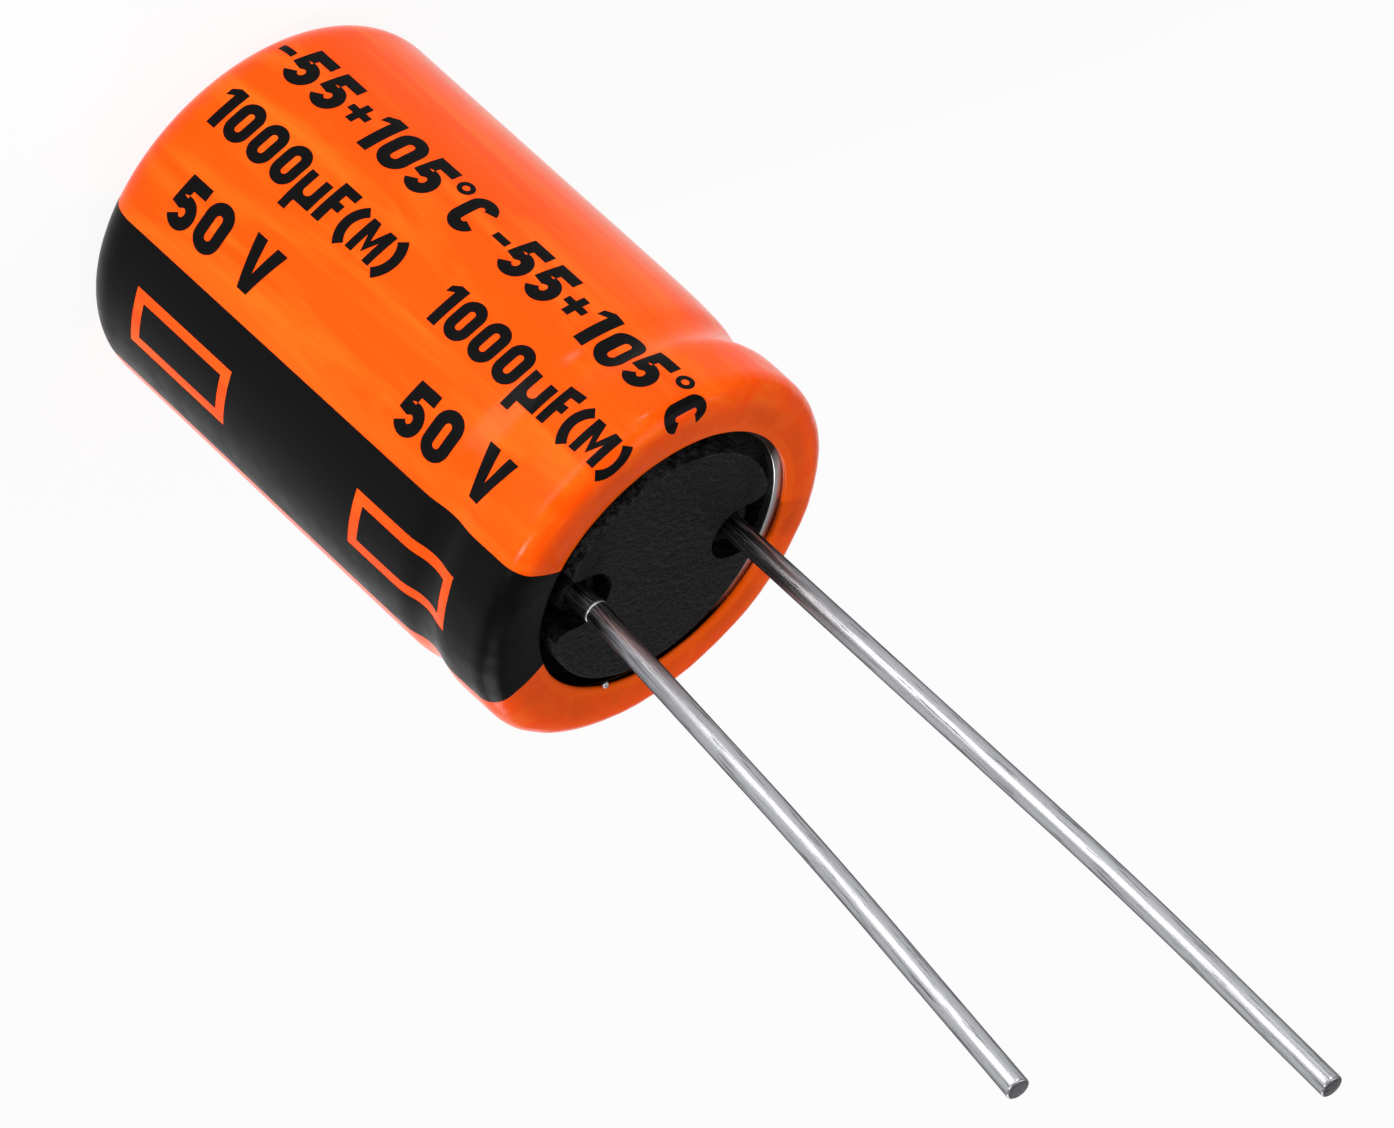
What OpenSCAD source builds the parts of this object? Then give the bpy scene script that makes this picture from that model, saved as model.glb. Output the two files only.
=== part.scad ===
// Radial electrolytic capacitor, standing on its closed end with both leads up.
// The origin is on the can's axis at the foot, +X runs from the negative lead to the positive one.

/* [Can] */
// Outer radius of the drawn aluminium can
can_r = 5; // [4.8:0.05:5.6]
// Height of the can, from its closed end to the crest of its curled rim
can_h = 15; // [13.5:0.1:20]
// Thickness of the side wall
can_wall = 0.3; // [0.2:0.01:0.34]
// Thickness of the closed end
can_end = 0.4; // [0.3:0.01:0.6]
// Outer radius of the corner at the closed end
can_corner_r = 1; // [0.7:0.05:1.2]

/* [Vent score] */
// Depth of the score lines in the closed end
vent_depth = 0.15; // [0.05:0.01:0.22]
// Width of the score lines
vent_w = 0.22; // [0.1:0.01:0.4]
// Length of the long score line
vent_len = 5.6; // [4:0.1:6]
// Length of each of the two short score lines
vent_arm_len = 3; // [2:0.1:3.2]
// Angle of the short score lines from the long one
vent_arm_angle = 50; // [35:1:70]

/* [Bead and curled rim] */
// Distance of the bead's middle below the crest of the rim
bead_drop = 2.33; // [2.25:0.01:2.5]
// Depth of the bead rolled into the can
bead_depth = 0.7; // [0.4:0.01:0.8]
// Radius of the roller that made the bead
bead_r = 0.7; // [0.6:0.01:0.75]
// Radius of the wall on both sides of the bead
bead_fillet_r = 0.8; // [0.7:0.01:0.85]
// How far the wall above the bead stands out past the wall below it
rim_swell = 0.05; // [0:0.01:0.1]
// Outer radius of the rim's shoulder
curl_r = 0.4; // [0.38:0.01:0.6]
// Radius of the gentle crown that the rim follows from there towards the axis
crown_r = 6; // [5.5:0.1:7]
// Angle that the rim follows the crown
curl_over = 9.2; // [8:0.1:10]

/* [Sleeve] */
// Thickness of the shrunk sleeve
sleeve_wall = 0.15; // [0.1:0.01:0.25]
// Depth of the sleeve's dip over the bead
dip_depth = 0.2; // [0.1:0.01:0.4]
// Width of the ring that the sleeve's mouth leaves, from the side of the can
mouth_inset = 1.3; // [1.22:0.01:1.4]
// How far the mouth's centre lies off the axis
mouth_shift = 0.19; // [0:0.01:0.2]
// Direction in which the mouth lies off the axis
mouth_turn = 348; // [0:1:359]
// Width of the ring that the sleeve covers of the closed end, from the side of the can
foot_inset = 1.5; // [1.3:0.05:1.8]

/* [Polarity stripe] */
// Direction of the stripe's middle
stripe_turn = 185; // [150:1:210]
// Width of the stripe, as an angle around the can
stripe_angle = 50; // [36:1:70]
// Thickness of the ink
ink = 0.03; // [0.01:0.005:0.05]
// Number of outlined marks in the stripe
mark_count = 2; // [1:1:2]
// Direction of the marks' middle
mark_turn = 183; // [178:1:188]
// Length of a mark along the can
mark_len = 3.5; // [2:0.1:4]
// Width of a mark around the can
mark_w = 1.68; // [1:0.01:2]
// Width of the line that draws a mark
mark_line = 0.32; // [0.15:0.01:0.45]
// Distance of the first mark's middle below the top of the sleeve
mark_drop = 3.4; // [3:0.05:4]
// Distance from one mark's middle to the next
mark_step = 8.1; // [6:0.1:8.5]

/* [Seal] */
// Height of the seal, from its inner face to the crest of the rim
seal_h = 4.2; // [4.05:0.05:5]
// Distance of the raised pad's edge from the side of the can
pad_inset = 1.74; // [1.6:0.01:1.9]
// Height of the pad above the sleeve
pad_rise = 0.04; // [0:0.01:0.4]
// Depth of the trench between the pad and the rim
trench = 0.25; // [0.1:0.01:0.4]
// Half the width of the notch around each lead
notch_r = 0.8; // [0.7:0.01:0.95]
// Radius of the pad's corners beside the notches
pad_corner_r = 0.3; // [0.1:0.01:0.4]
// Width of the boss around each lead's hole
boss_w = 0.2; // [0.1:0.01:0.3]
// Height of that boss above the trench
boss_h = 0.5; // [0.1:0.01:0.6]

/* [Winding] */
// Room between the wound foils and paper and the can's side wall
roll_room = 0.3; // [0.25:0.01:0.5]
// Room between the roll and the seal
roll_head = 0.95; // [0.85:0.05:2]
// Radius of the hole left by the winding pin
core_r = 0.6; // [0.4:0.05:0.9]
// Distance between the turns that show at the roll's ends
turn_step = 0.42; // [0.35:0.01:0.6]
// Width and depth of the gap between those turns
turn_gap = 0.12; // [0.05:0.01:0.16]
// Thickness of the tape that closes the roll
tape_t = 0.08; // [0.04:0.01:0.12]
// Distance of the tape's edges from the ends of the roll
tape_inset = 1.65; // [1:0.05:3]

/* [Tabs] */
// Radius of a tab's round shank
shank_r = 0.65; // [0.5:0.01:0.7]
// Thickness of a tab's flat blade
blade_t = 0.25; // [0.15:0.01:0.35]
// Width of a tab's flat blade
blade_w = 1.6; // [1.3:0.01:1.9]
// Height of the blade's end above the foot of the roll
blade_foot = 1.8; // [1:0.1:4]
// Thickness of the seal left over the end of a shank
shank_cover = 0.6; // [0.4:0.01:0.9]

/* [Leads] */
// Distance between the two leads where they leave the seal
lead_pitch = 4.8; // [4.7:0.01:5]
// Radius of a lead
lead_r = 0.3; // [0.25:0.01:0.35]
// Width of the fine ring at each end of a bend
grip_ring_w = 0.08; // [0.04:0.01:0.2]
// How far that ring stands out of the wire
grip_ring_rise = 0.01; // [0.005:0.005:0.03]
// Height of the positive lead above the sleeve
positive_h = 20.6; // [19:0.1:24]
// Height above the sleeve at which the positive lead starts to lean
positive_bend_h = 11; // [8:0.1:11.5]
// Radius of the positive lead's bow
positive_bow_r = 120; // [100:1:140]
// Angle of the positive lead's tip from the axis, towards the axis
positive_lean = 2.6; // [1:0.1:3]
// Height of the negative lead above the sleeve
negative_h = 16.9; // [16:0.1:20]
// Height above the sleeve at which the negative lead starts to lean
negative_bend_h = 0.3; // [0.2:0.05:1]
// Radius of the negative lead's bend at the seal
negative_bend_r = 5; // [3:0.1:8]
// Angle of the negative lead from the axis after that bend, away from the axis
negative_lean = 5.3; // [3:0.1:6]
// Length of the straight wire after that bend
negative_run = 6; // [4:0.1:8]
// Radius of the negative lead's bow
negative_bow_r = 120; // [80:1:140]
// Angle that the bow adds to the negative lead's lean
negative_bow = 2.2; // [1:0.1:2.6]

/* [Hidden] */
$fn = 96;

// Clearances between the pieces
sleeve_gap = 0.02;
seal_gap = 0.02;
roll_gap = 0.02;
tape_gap = 0.01;
blade_gap = 0.03;
shank_gap = 0.01;
lead_gap = 0.04;
weld_gap = 0.01;

// The share of the dip's curve that is hollow
dip_share = 0.5;

// Steps of the curved outlines
arc_steps = 12;
turn_steps = 24;

// Heights
foot_z = sleeve_wall + sleeve_gap;
can_floor_z = foot_z + can_end;
rim_z = foot_z + can_h;
top_z = rim_z + sleeve_gap + sleeve_wall;
bead_z = rim_z - bead_drop;
seal_z = rim_z - seal_h;
curl_z = rim_z - curl_r;
curl_x = can_r + rim_swell - curl_r;
crown_z = rim_z - crown_r;

// The dip's arcs start at the shoulders of the bead, so that the sleeve bridges it
dip_room = (bead_r + bead_fillet_r) * sin(groove_turn(bead_depth + rim_swell, bead_r, bead_fillet_r));
dip_turn = 2 * atan((dip_depth + rim_swell) / dip_room);
dip_r = dip_share * dip_room / sin(dip_turn);
dip_fillet_r = (1 - dip_share) * dip_room / sin(dip_turn);

// The seal follows the inside of the can up to the end of the curl, then drops into the trench
seal_d = -can_wall - seal_gap;
seal_r = can_r + seal_d;
seal_corner = 0.35;
land_z = crown_z + (crown_r + seal_d) * cos(curl_over);
trench_z = land_z - trench;
trench_r = curl_x - (crown_r + seal_d) * sin(curl_over);
pad_r = can_r - pad_inset;
pad_z = top_z + pad_rise;

// The roll stands on the can's inner corner
inner_corner_r = can_corner_r - can_wall;
roll_r = can_r - can_wall - roll_room;
roll_reach = roll_r + roll_gap - (can_r - can_corner_r);
roll_z = can_floor_z + inner_corner_r - sqrt(inner_corner_r * inner_corner_r - roll_reach * roll_reach);
roll_top_z = seal_z - roll_head;
roll_h = roll_top_z - roll_z;

lead_x = lead_pitch / 2;
shank_top_z = trench_z - shank_cover;
shank_taper_z = seal_z - shank_r;
blade_z = roll_z + blade_foot;

// The sleeve's outside lies this far outside the can, and its lip is cut from a crown that goes further
sleeve_d = sleeve_gap + sleeve_wall;
lip_past = 13;
mouth_r = can_r - mouth_inset;
foot_open_r = can_r - foot_inset;
stripe_foot_angle = -65;
ink_cut = 0.3;

// How far a cut goes past the solid that it cuts
over = 1;

// Points of an arc, from one angle to another
function arc(x, z, r, from, to, steps = arc_steps) =
    [for (i = [0:steps]) let (a = from + (to - from) * i / steps) [x + r * cos(a), z + r * sin(a)]];

// Angle at which a groove of this depth meets the arcs beside it
function groove_turn(depth, groove, fillet) = acos(1 - depth / (groove + fillet));

// The corner at the closed end, moved outwards by d, with its flat part at floor_z
function corner(d, floor_z, from = -90) =
    arc(can_r - can_corner_r, floor_z + can_corner_r + d, can_corner_r + d, from, 0);

// The points after the first, and those between the first and the last
function after(points) = [for (i = [1:len(points) - 1]) points[i]];
function between(points) = [for (i = [1:len(points) - 2]) points[i]];

// The side with its groove, moved outwards by d
function side(d, depth, groove, fillet) =
    let (low = groove_turn(depth, groove, fillet), high = groove_turn(depth + rim_swell, groove, fillet))
    concat(
        arc(can_r - fillet, bead_z - (groove + fillet) * sin(low), fillet + d, 0, low),
        between(arc(can_r - depth + groove, bead_z, groove - d, 180 + low, 180 - high)),
        arc(can_r + rim_swell - fillet, bead_z + (groove + fillet) * sin(high), fillet + d, -high, 0)
    );

// The rim at the open end, moved outwards by d: its shoulder, then this angle of its crown
function curl(d, past) =
    concat(arc(curl_x, curl_z, curl_r + d, 0, 90), after(arc(curl_x, crown_z, crown_r + d, 90, 90 + past)));

// Points in reverse order
function back(points) = [for (i = [len(points) - 1:-1:0]) points[i]];

// The whole outside of the sleeve, moved outwards by d from the can
function sleeve_line(d, past, from = -90) =
    concat(corner(d, foot_z - d, from), side(d, dip_depth, dip_r, dip_fillet_r), curl(d, past));

// All that lies in this direction from the axis, within this angle and between two heights
module wedge(turn, angle, from_z, to_z) {
    far = 2 * (can_r + 2 * over);
    translate([0, 0, from_z]) linear_extrude(to_z - from_z)
        polygon([[0, 0], far * [cos(turn - angle / 2), sin(turn - angle / 2)],
                 far * [cos(turn + angle / 2), sin(turn + angle / 2)]]);
}

module mouth_cut() {
    rotate(mouth_turn) translate([mouth_shift, 0, curl_z]) cylinder(r = mouth_r, h = top_z);
}

// The stripe with its marks left out, from the bottom of the ink up to this far outside the can
module stripe_layer(outer_d) {
    difference() {
        intersection() {
            rotate_extrude()
                polygon(concat(sleeve_line(outer_d, lip_past, stripe_foot_angle),
                               back(sleeve_line(sleeve_d - ink, lip_past, stripe_foot_angle))));
            wedge(stripe_turn, stripe_angle, -over, top_z + over);
        }
        mouth_cut();
        for (i = [0:mark_count - 1]) mark_outline(top_z - mark_drop - i * mark_step);
    }
}

// A rectangle drawn as a line around part of the can
module mark_outline(z) {
    angle = mark_w / can_r * 180 / PI;
    line_angle = mark_line / can_r * 180 / PI;
    difference() {
        wedge(mark_turn, angle, z - mark_len / 2, z + mark_len / 2);
        wedge(mark_turn, angle - 2 * line_angle, z - mark_len / 2 + mark_line, z + mark_len / 2 - mark_line);
    }
}

module sleeve() {
    color("orangered") difference() {
        rotate_extrude()
            polygon(concat([[foot_open_r, 0]], sleeve_line(sleeve_d, lip_past),
                           back(sleeve_line(sleeve_gap, lip_past)), [[foot_open_r, sleeve_wall]]));
        mouth_cut();
        stripe_layer(sleeve_d + ink_cut);
    }
}

module polarity_stripe() {
    color("#1a1b1c") stripe_layer(sleeve_d);
}

module can() {
    color("silver") difference() {
        rotate_extrude()
            polygon(concat([[0, foot_z]], corner(0, foot_z), side(0, bead_depth, bead_r, bead_fillet_r),
                           curl(0, curl_over), back(curl(-can_wall, curl_over)),
                           back(side(-can_wall, bead_depth, bead_r, bead_fillet_r)),
                           back(corner(-can_wall, can_floor_z)), [[0, can_floor_z]]));
        vent_score();
    }
}

// One long line and two arms that open to one side
module vent_score() {
    low = foot_z - over;
    deep = over + vent_depth;
    translate([-vent_w / 2, -vent_len / 2, low]) cube([vent_w, vent_len, deep]);
    for (turn = [-1, 1])
        rotate(turn * (90 - vent_arm_angle))
            translate([0, -vent_w / 2, low]) cube([vent_arm_len, vent_w, deep]);
}

module rubber_seal() {
    color("#1c1c1d") difference() {
        union() {
            rotate_extrude()
                polygon(concat([[0, seal_z], [seal_r - seal_corner, seal_z], [seal_r, seal_z + seal_corner]],
                               side(seal_d, bead_depth, bead_r, bead_fillet_r), curl(seal_d, curl_over),
                               [[trench_r, trench_z], [0, trench_z]]));
            translate([0, 0, trench_z - trench]) linear_extrude(pad_z - trench_z + trench) pad_outline();
            for (x = [-lead_x, lead_x])
                translate([x, 0, trench_z - trench]) cylinder(r = lead_r + lead_gap + boss_w, h = trench + boss_h);
        }
        for (x = [-lead_x, lead_x]) translate([x, 0, 0]) {
            translate([0, 0, seal_z - over])
                cylinder(r = shank_r + shank_gap, h = shank_top_z + weld_gap - seal_z + over);
            translate([0, 0, seal_z]) cylinder(r = lead_r + lead_gap, h = pad_z);
        }
    }
}

// The pad is a disc with a notch around each lead, and round corners beside the notches
module pad_outline() {
    corner_y = notch_r + pad_corner_r;
    corner_x = sqrt(pow(pad_r - pad_corner_r, 2) - corner_y * corner_y);
    corner_turn = atan(corner_y / corner_x);
    far = pad_r + over;
    difference() {
        circle(r = pad_r);
        for (to = [-1, 1]) {
            translate([to * lead_x, 0]) circle(r = notch_r);
            translate([to > 0 ? lead_x : -lead_x - far, -notch_r]) square([far, 2 * notch_r]);
            for (end = [-1, 1])
                polygon([[to * corner_x, end * corner_y], [to * corner_x, 0], [to * far, 0],
                         [to * far * cos(corner_turn), end * far * sin(corner_turn)]]);
        }
    }
    for (to = [-1, 1], end = [-1, 1]) translate([to * corner_x, end * corner_y]) circle(r = pad_corner_r);
}

module wound_roll() {
    slot_t = blade_t + 2 * blade_gap;
    slot_w = blade_w + 2 * blade_gap;
    color("tan") difference() {
        translate([0, 0, roll_z]) cylinder(r = roll_r, h = roll_h);
        translate([0, 0, roll_z - over]) cylinder(r = core_r, h = roll_h + 2 * over);
        for (z = [roll_z - turn_gap, roll_top_z - turn_gap])
            translate([0, 0, z]) linear_extrude(2 * turn_gap) turns_gap();
        for (x = [-lead_x, lead_x])
            translate([x - slot_t / 2, -slot_w / 2, blade_z - blade_gap]) cube([slot_t, slot_w, roll_h]);
    }
}

// The gap between the turns, as a spiral line
module turns_gap() {
    turns = floor((roll_r - core_r - turn_step) / turn_step);
    steps = turns * turn_steps;
    function spiral(shift) =
        [for (i = [0:steps])
            let (a = i * 360 / turn_steps, r = core_r + turn_step * (0.5 + i / turn_steps) + shift)
            [r * cos(a), r * sin(a)]];
    polygon(concat(spiral(-turn_gap / 2), back(spiral(turn_gap / 2))));
}

module closing_tape() {
    inner = roll_r + tape_gap;
    width = roll_h - 2 * tape_inset;
    color("goldenrod") translate([0, 0, roll_z + tape_inset]) difference() {
        cylinder(r = inner + tape_t, h = width);
        translate([0, 0, -over]) cylinder(r = inner, h = width + 2 * over);
    }
}

// A round shank pressed to a flat blade, which goes into the roll
module tab() {
    difference() {
        translate([0, 0, shank_taper_z - shank_r]) cylinder(r = shank_r, h = shank_top_z - shank_taper_z + shank_r);
        for (to = [-1, 1])
            rotate([90, 0, 0]) linear_extrude(4 * shank_r, center = true)
                polygon([[to * blade_t / 2, shank_taper_z], [to * shank_r, seal_z - shank_gap],
                         [to * 2 * shank_r, seal_z], [to * 2 * shank_r, shank_taper_z - 2 * shank_r],
                         [to * blade_t / 2, shank_taper_z - 2 * shank_r]]);
    }
    translate([-blade_t / 2, -blade_w / 2, blade_z]) cube([blade_t, blade_w, shank_taper_z - blade_z]);
}

module anode_tab() {
    color("lightgray") translate([lead_x, 0, 0]) tab();
}

module cathode_tab() {
    color("darkgray") translate([-lead_x, 0, 0]) tab();
}

// A straight piece of wire, then what follows at its end
module wire(len) {
    cylinder(r = lead_r, h = len);
    translate([0, 0, len]) children();
}

// The fine ring left where the wire was gripped to bend it
module grip_ring() {
    translate([0, 0, -grip_ring_w / 2]) cylinder(r = lead_r + grip_ring_rise, h = grip_ring_w);
}

// A bow of wire in the XZ plane that turns towards +X, then what follows at its end
module bow(r, angle) {
    grip_ring();
    translate([r, 0, 0]) rotate([90, 0, 0])
        rotate_extrude(angle = angle, start = 180 - angle) translate([r, 0]) circle(r = lead_r);
    translate([r * (1 - cos(angle)), 0, r * sin(angle)]) rotate([0, angle, 0]) {
        grip_ring();
        children();
    }
}

module positive_lead() {
    start_z = shank_top_z + 2 * weld_gap;
    rise = top_z + positive_bend_h - start_z;
    bow_h = positive_bow_r * sin(positive_lean);
    tip = (positive_h - positive_bend_h - bow_h) / cos(positive_lean);
    color("gainsboro") translate([lead_x, 0, start_z]) mirror([1, 0, 0])
        wire(rise) bow(positive_bow_r, positive_lean) wire(tip);
}

module negative_lead() {
    start_z = shank_top_z + 2 * weld_gap;
    rise = top_z + negative_bend_h - start_z;
    bend_h = negative_bend_r * sin(negative_lean);
    run_h = negative_run * cos(negative_lean);
    whole_lean = negative_lean + negative_bow;
    bow_h = negative_bow_r * (sin(whole_lean) - sin(negative_lean));
    tip = (negative_h - negative_bend_h - bend_h - run_h - bow_h) / cos(whole_lean);
    color("gainsboro") translate([-lead_x, 0, start_z]) mirror([1, 0, 0])
        wire(rise) bow(negative_bend_r, negative_lean)
            wire(negative_run) bow(negative_bow_r, negative_bow) wire(tip);
}

sleeve();
polarity_stripe();
can();
rubber_seal();
wound_roll();
closing_tape();
anode_tab();
cathode_tab();
positive_lead();
negative_lead();
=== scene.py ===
import math
import bmesh
import bpy
from mathutils import Matrix, Vector, noise


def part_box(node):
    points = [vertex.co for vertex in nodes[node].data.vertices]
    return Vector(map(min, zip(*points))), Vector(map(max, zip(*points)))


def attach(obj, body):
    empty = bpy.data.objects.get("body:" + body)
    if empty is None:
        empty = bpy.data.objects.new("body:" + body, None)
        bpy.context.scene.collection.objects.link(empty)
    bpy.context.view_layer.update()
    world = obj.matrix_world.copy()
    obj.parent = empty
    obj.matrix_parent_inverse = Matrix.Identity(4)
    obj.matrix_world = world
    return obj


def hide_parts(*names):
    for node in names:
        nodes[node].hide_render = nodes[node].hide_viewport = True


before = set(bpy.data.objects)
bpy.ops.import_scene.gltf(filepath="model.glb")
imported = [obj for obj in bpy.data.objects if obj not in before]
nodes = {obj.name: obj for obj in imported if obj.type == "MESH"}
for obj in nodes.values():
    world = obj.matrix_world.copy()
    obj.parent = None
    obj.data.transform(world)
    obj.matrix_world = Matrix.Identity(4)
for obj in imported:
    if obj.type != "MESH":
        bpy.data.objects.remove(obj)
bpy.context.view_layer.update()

mm = 0.001  # the sizes below are in millimetres, Blender's are in metres


def linear(hexColour):
    channels = [int(hexColour[i:i + 2], 16) / 255 for i in (1, 3, 5)]
    return [c / 12.92 if c <= 0.04045 else ((c + 0.055) / 1.055) ** 2.4 for c in channels] + [1.0]


# settings holds values of sockets or properties, links holds (node, output) for each linked input.
# A Mix of colours takes its share at socket 0 and its colours at 6 and 7, and gives the result at output 2
def addNode(tree, kind, settings=None, links=None):
    made = tree.nodes.new(kind)
    for key, value in (settings or {}).items():
        if isinstance(key, int) or key in made.inputs:
            made.inputs[key].default_value = value
        else:
            setattr(made, key, value)
    for key, (source, output) in (links or {}).items():
        tree.links.new(source.outputs[output], made.inputs[key])
    return made


# A material with its main shader, and object coordinates in millimetres for its patterns
def startMaterial(name, settings):
    material = bpy.data.materials.new(name)
    material.use_nodes = True
    tree = material.node_tree
    tree.nodes.clear()
    shader = addNode(tree, "ShaderNodeBsdfPrincipled", settings)
    addNode(tree, "ShaderNodeOutputMaterial", links={"Surface": (shader, "BSDF")})
    place = addNode(tree, "ShaderNodeTexCoord")
    scaled = addNode(tree, "ShaderNodeVectorMath", {"operation": "SCALE", "Scale": 1 / mm},
                     {0: (place, "Object")})
    return material, tree, shader, scaled


def between(low, high, share):
    return low + (high - low) * share


def smoothStep(low, high, x):
    t = min(max((x - low) / (high - low), 0.0), 1.0)
    return t * t * (3 - 2 * t)


def steps(start, end, step):
    count = max(1, round((end - start) / step))
    return [between(start, end, i / count) for i in range(count)]


def direction(turn, rise):  # in degrees, round the can and up from the level
    a, e = math.radians(turn), math.radians(rise)
    return Vector((math.cos(a) * math.cos(e), math.sin(a) * math.cos(e), math.sin(e)))


def addPiece(name, points, faces, material, sharpAngle=35):
    mesh = bpy.data.meshes.new(name)
    mesh.from_pydata([Vector(p) * mm for p in points], [], faces)
    mesh.validate()
    mesh.shade_smooth()
    mesh.set_sharp_from_angle(angle=math.radians(sharpAngle))
    mesh.materials.append(material)
    piece = bpy.data.objects.new(name, mesh)
    bpy.context.scene.collection.objects.link(piece)
    return piece


# Rings of points joined one after the other; the last ring joins the first, or both ends are capped
def addRings(name, rings, material, capped=False, sharpAngle=35):
    around = len(rings[0])
    points = [p for ring in rings for p in ring]
    last = len(rings) - 1
    pairs = [(k, k + 1) for k in range(last)] + ([] if capped else [(last, 0)])
    faces = [(a * around + i, a * around + (i + 1) % around, b * around + (i + 1) % around, b * around + i)
             for a, b in pairs for i in range(around)]
    if capped:
        faces += [tuple(reversed(range(around))), tuple(last * around + i for i in range(around))]
    return addPiece(name, points, faces, material, sharpAngle)


# The sleeve is one line from the foot to the crest, turned round the axis, then a ring that leans in to the mouth
sleeve = {
    "rimSwell": 0.05,       # how far the rim stands out past the side
    "wall": 0.13,
    "cornerR": 1.17,        # corner at the closed end
    "footR": 3.5,           # opening under the closed end
    "dipDrop": 2.5,         # from the top to the middle of the dip
    "dipDepth": 0.11,       # the film bridges the can's bead
    "dipR": 1.5,
    "dipFilletR": 1.9,
    "pull": 0.09,           # extra depth of the dip on the side away from the stripe
    "pullTurn": 52,
    "pullReach": (1.2, 0.7),  # how far it goes below and above the middle of the dip
    "shoulderR": 0.57,
    "crownR": 6.17,         # the ring around the mouth is almost flat
    "mouthR": 3.7,
    "mouthShift": 0.19,
    "mouthTurn": 348,
    "mouthWaver": 0.03,     # the edge was cut by hand
    "mouthWave": 4.5,
    "lipR": 0.065,
    # depth of a dent, and how often it comes per mm round and along the can, with a start of its own
    "broadDent": (0.014, 0.3, 0.16, 0),
    "crease": (0.03, 1.1, 0.25, 20),
    "fineCrease": (0.016, 2.4, 0.9, 40),
    "creaseFrom": 1.5,      # creases grow from this far below the dip to this far above it
    "creaseTo": 1.2,
    "crestFade": 0.5,       # and lose half their depth over this length past the crest
    # fineness of the mesh
    "columns": 300,
    "cornerStep": 0.1,
    "sideStep": 0.3,
    "rimStep": 0.07,
    "rimFrom": 1.4,         # the rim's rows start this far below the dip
    "arcSteps": 24,
    "crownRows": 14,
    "lipRows": 8,
    "insideStep": 0.4,
    "insideTop": 0.3,
}
sleeveLow, sleeveHigh = [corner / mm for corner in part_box("sleeve")]
topZ = sleeveHigh.z
rimR = sleeveHigh.x
sideR = rimR - sleeve["rimSwell"]
crownX = rimR - sleeve["shoulderR"]
dipZ = topZ - sleeve["dipDrop"]


def arc(x, z, r, start, end):
    count = sleeve["arcSteps"]
    turns = [math.radians(between(start, end, i / count)) for i in range(count + 1)]
    return [(x + r * math.cos(t), z + r * math.sin(t)) for t in turns]


def sleeveLine():
    s = sleeve
    reach = s["dipR"] + s["dipFilletR"]
    low = math.acos(1 - s["dipDepth"] / reach)
    high = math.acos(1 - (s["dipDepth"] + s["rimSwell"]) / reach)
    lowTurn, highTurn = math.degrees(low), math.degrees(high)
    return (
        [(s["footR"], 0.0)]
        + arc(sideR - s["cornerR"], s["cornerR"], s["cornerR"], -90, 0)
        + arc(sideR - s["dipFilletR"], dipZ - reach * math.sin(low), s["dipFilletR"], 0, lowTurn)
        + arc(sideR - s["dipDepth"] + s["dipR"], dipZ, s["dipR"], 180 + lowTurn, 180 - highTurn)[1:-1]
        + arc(rimR - s["dipFilletR"], dipZ + reach * math.sin(high), s["dipFilletR"], -highTurn, 0)
        + arc(crownX, topZ - s["shoulderR"], s["shoulderR"], 0, 90)
    )


line = sleeveLine()
lengths = [0.0]
for a, b in zip(line, line[1:]):
    lengths.append(lengths[-1] + math.dist(a, b))
crestS = lengths[-1]


def lengthAt(z):  # length along the side at this height
    for k in range(1, len(line)):
        if line[k][1] >= z > line[k - 1][1]:
            return between(lengths[k - 1], lengths[k], (z - line[k - 1][1]) / (line[k][1] - line[k - 1][1]))
    return crestS


# Radius and height on the sleeve's outside, this far along it from the foot; past the crest comes the crown
def linePoint(s):
    if s > crestS:
        turn = math.asin((s - crestS) / sleeve["crownR"])
        return crownX - (s - crestS), topZ - sleeve["crownR"] * (1 - math.cos(turn))
    s = max(s, 0.0)
    k = next(k for k in range(1, len(line)) if lengths[k] >= s or k == len(line) - 1)
    share = (s - lengths[k - 1]) / max(lengths[k] - lengths[k - 1], 1e-9)
    return tuple(between(u, v, share) for u, v in zip(line[k - 1], line[k]))


def lineNormal(s, reach=0.03):
    (r0, z0), (r1, z1) = linePoint(s - reach), linePoint(s + reach)
    return Vector((z1 - z0, r0 - r1)).normalized()


# Where the shrunk film has drawn in: broad waves all over, creases along the can near the crimp
def dent(turn, s, r, z):
    around = Vector((r * math.cos(turn), r * math.sin(turn), 0.0))

    def wave(name):
        depth, across, along, start = sleeve[name]
        return depth * (0.5 + 0.5 * noise.noise(around * across + Vector((0, 0, z * along + start))))

    rising = smoothStep(lengthAt(dipZ - sleeve["creaseFrom"]), lengthAt(dipZ + sleeve["creaseTo"]), s)
    nearRim = rising * (1 - 0.5 * smoothStep(crestS, crestS + sleeve["crestFade"], s))
    reach = sleeve["pullReach"][1 if z > dipZ else 0]
    pull = (max(0.0, math.cos(turn - math.radians(sleeve["pullTurn"]))) ** 2
            * math.exp(-((z - dipZ) / reach) ** 2))
    return wave("broadDent") + sleeve["pull"] * pull + nearRim * (wave("crease") + wave("fineCrease"))


def roundPoint(turnDegrees, r, z):
    turn = math.radians(turnDegrees)
    return Vector((r * math.cos(turn), r * math.sin(turn), z))


def sleevePoint(turnDegrees, s, lift=0.0):
    r, z = linePoint(s)
    normal = lineNormal(s)
    out = lift - dent(math.radians(turnDegrees), s, r, z)
    return roundPoint(turnDegrees, r + normal.x * out, z + normal.y * out)


def innerPoint(turnDegrees, s):
    r, z = linePoint(s)
    normal = lineNormal(s)
    return roundPoint(turnDegrees, r - normal.x * sleeve["wall"], z - normal.y * sleeve["wall"])


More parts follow.
